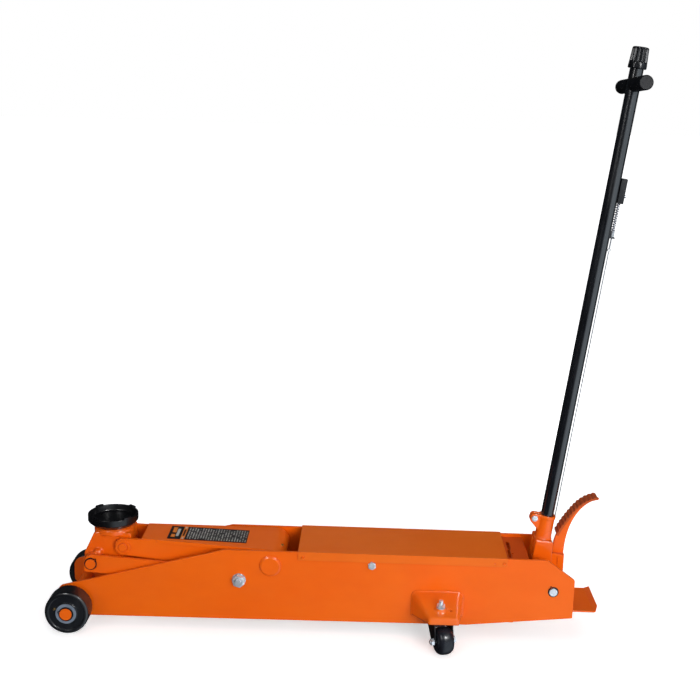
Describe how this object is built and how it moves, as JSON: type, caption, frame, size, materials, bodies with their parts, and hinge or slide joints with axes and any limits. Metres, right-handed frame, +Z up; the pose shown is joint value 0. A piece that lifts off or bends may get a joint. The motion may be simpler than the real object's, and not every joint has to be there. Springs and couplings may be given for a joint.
{
  "type": "hydraulic floor jack",
  "caption": "Long-chassis hydraulic floor jack: side plates on front wheels and rear casters, lift arm with levelled saddle, pump handle with release knob, and foot pedal.",
  "frame": {"origin": "middle of the footprint box, at floor level", "axes": "+X from the saddle end to the handle end, +Y across the chassis to the right-hand side seen from the handle, +Z up"},
  "size_m": [1.5432, 0.468, 1.5941],
  "materials": {
    "orange_paint": "gloss",
    "black_paint": "gloss",
    "black_wheel": "satin",
    "black_cast": "satin",
    "caster_tread": "matte",
    "black_steel": "satin",
    "zinc": "satin",
    "machined_steel": "satin",
    "ram_chrome": "gloss",
    "pump_casting": "matte",
    "nipple_brass": "satin",
    "grip_plastic": "satin",
    "label_film": "gloss"
  },
  "bodies": {
    "chassis": {"side_plate_left": "orange_paint", "side_plate_right": "orange_paint", "cross_plates": "orange_paint", "front_axle": "orange_paint", "axle_washers": "zinc", "axle_circlips": "black_steel", "tie_bolt": "zinc", "tie_spacer": "machined_steel", "top_cover": "orange_paint", "cover_screws": "zinc", "rear_deck": "orange_paint", "tail_tray": "orange_paint", "rear_pivot_pin": "zinc", "rear_pin_circlips": "black_steel", "lift_shaft": "orange_paint", "lift_shaft_caps": "orange_paint", "radius_rod_bolts": "zinc", "caster_king_bolts": "zinc", "lock_nuts": "zinc", "caster_pocket_left": "orange_paint", "caster_pocket_right": "orange_paint", "cylinder_tube": "pump_casting", "power_unit_block": "pump_casting"},
    "wheel_left": {"front_wheel_left": "black_wheel", "wheel_nipple_left": "nipple_brass"},
    "wheel_right": {"front_wheel_right": "black_wheel", "wheel_nipple_right": "nipple_brass"},
    "caster_left": {"caster_fork_left": "black_steel", "caster_axle_left": "zinc"},
    "caster_right": {"caster_fork_right": "black_steel", "caster_axle_right": "zinc"},
    "caster_roller_left": {"caster_wheel_left": "caster_tread"},
    "caster_roller_right": {"caster_wheel_right": "caster_tread"},
    "arm": {"lift_arm": "orange_paint", "lever_pin": "machined_steel", "arm_lid": "orange_paint", "arm_grease_nipple": "nipple_brass", "label_plate": "label_film", "head_upper_pin": "orange_paint"},
    "rod_left": {"radius_rod_left": "orange_paint"},
    "rod_right": {"radius_rod_right": "orange_paint"},
    "head": {"lift_head": "orange_paint", "head_lower_pin": "orange_paint", "head_circlips": "black_steel"},
    "cup": {"saddle": "black_cast"},
    "ram_body": {"ram": "ram_chrome", "ram_yoke": "machined_steel"},
    "plunger": {"pump_plunger": "machined_steel"},
    "valve": {"release_spindle": "machined_steel"},
    "handle": {"handle_fork": "orange_paint", "clamp_bolt": "zinc", "handle_tube": "black_paint", "t_bar": "black_paint", "bar_grips": "grip_plastic", "latch_housing": "black_paint", "latch_spring": "ram_chrome"},
    "knob": {"release_knob": "grip_plastic", "twist_rod": "black_steel"},
    "latch": {"latch_rod": "zinc"},
    "pedal": {"foot_pedal": "orange_paint"}
  },
  "joints": [
    {"name": "lift", "type": "hinge", "parent": "chassis", "child": "arm", "pos_m": [-0.1636, 0, 0.1914], "axis": [0, 1, 0], "range_deg": [-12, 46]},
    {"name": "rod_left_turn", "type": "hinge", "parent": "chassis", "child": "rod_left", "pos_m": [-0.2495, 0, 0.1475], "axis": [0, 1, 0], "range_deg": [-12, 46]},
    {"name": "rod_right_turn", "type": "hinge", "parent": "chassis", "child": "rod_right", "pos_m": [-0.2495, 0, 0.1475], "axis": [0, 1, 0], "range_deg": [-12, 46]},
    {"name": "head_level", "type": "hinge", "parent": "arm", "child": "head", "pos_m": [-0.57459, 0, 0.21726], "axis": [0, 1, 0], "range_deg": [-46, 12]},
    {"name": "saddle_turn", "type": "hinge", "parent": "head", "child": "cup", "pos_m": [-0.6136, 0, 0.27], "axis": [0, 0, 1], "continuous": true},
    {"name": "ram_slide", "type": "slide", "parent": "chassis", "child": "ram_body", "axis": [-1, 0, 0], "range_m": [-0.0172, 0.0659]},
    {"name": "wheel_left_spin", "type": "hinge", "parent": "chassis", "child": "wheel_left", "pos_m": [-0.7116, -0.13, 0.06], "axis": [0, 1, 0], "continuous": true},
    {"name": "wheel_right_spin", "type": "hinge", "parent": "chassis", "child": "wheel_right", "pos_m": [-0.7116, 0.13, 0.06], "axis": [0, 1, 0], "continuous": true},
    {"name": "caster_left_swivel", "type": "hinge", "parent": "chassis", "child": "caster_left", "pos_m": [0.3014, -0.172, 0.083], "axis": [0, 0, 1], "continuous": true},
    {"name": "caster_right_swivel", "type": "hinge", "parent": "chassis", "child": "caster_right", "pos_m": [0.3014, 0.172, 0.083], "axis": [0, 0, 1], "continuous": true},
    {"name": "caster_left_spin", "type": "hinge", "parent": "caster_left", "child": "caster_roller_left", "pos_m": [0.30961, -0.19455, 0.0375], "axis": [0.9397, 0.342, 0], "continuous": true},
    {"name": "caster_right_spin", "type": "hinge", "parent": "caster_right", "child": "caster_roller_right", "pos_m": [0.30961, 0.19455, 0.0375], "axis": [0.9397, -0.342, 0], "continuous": true},
    {"name": "handle_pump", "type": "hinge", "parent": "chassis", "child": "handle", "pos_m": [0.6115, 0, 0.1434], "axis": [0, 1, 0], "range_deg": [-7, 50]},
    {"name": "plunger_stroke", "type": "slide", "parent": "chassis", "child": "plunger", "axis": [-1, 0, 0], "range_m": [-0.005, 0.0325]},
    {"name": "pedal_press", "type": "hinge", "parent": "handle", "child": "pedal", "pos_m": [0.6115, 0, 0.1434], "axis": [0, 1, 0], "range_deg": [0, 25], "stiffness_Nm_per_rad": 40, "springref_deg": -5.73},
    {"name": "knob_turn", "type": "hinge", "parent": "handle", "child": "knob", "pos_m": [0.74509, 0, 1.53751], "axis": [0.1219, 0, 0.9925], "range_deg": [0, 180]},
    {"name": "valve_turn", "type": "hinge", "parent": "chassis", "child": "valve", "pos_m": [0.4684, 0, 0.165], "axis": [1, 0, 0], "range_deg": [0, 180]},
    {"name": "latch_pull", "type": "slide", "parent": "handle", "child": "latch", "axis": [0.1219, 0, 0.9925], "range_m": [0, 0.015], "stiffness_N_per_m": 300, "springref_m": -0.01, "deforming": ["latch_spring"]}
  ],
  "couplings": [
    {"joint": "rod_left_turn", "follows": "lift", "ratio": 1},
    {"joint": "rod_right_turn", "follows": "lift", "ratio": 1},
    {"joint": "head_level", "follows": "lift", "ratio": -1},
    {"joint": "ram_slide", "follows": "lift", "m_per_rad": 0.082},
    {"joint": "plunger_stroke", "follows": "handle_pump", "m_per_rad": 0.0357},
    {"joint": "valve_turn", "follows": "knob_turn", "ratio": 1}
  ]
}
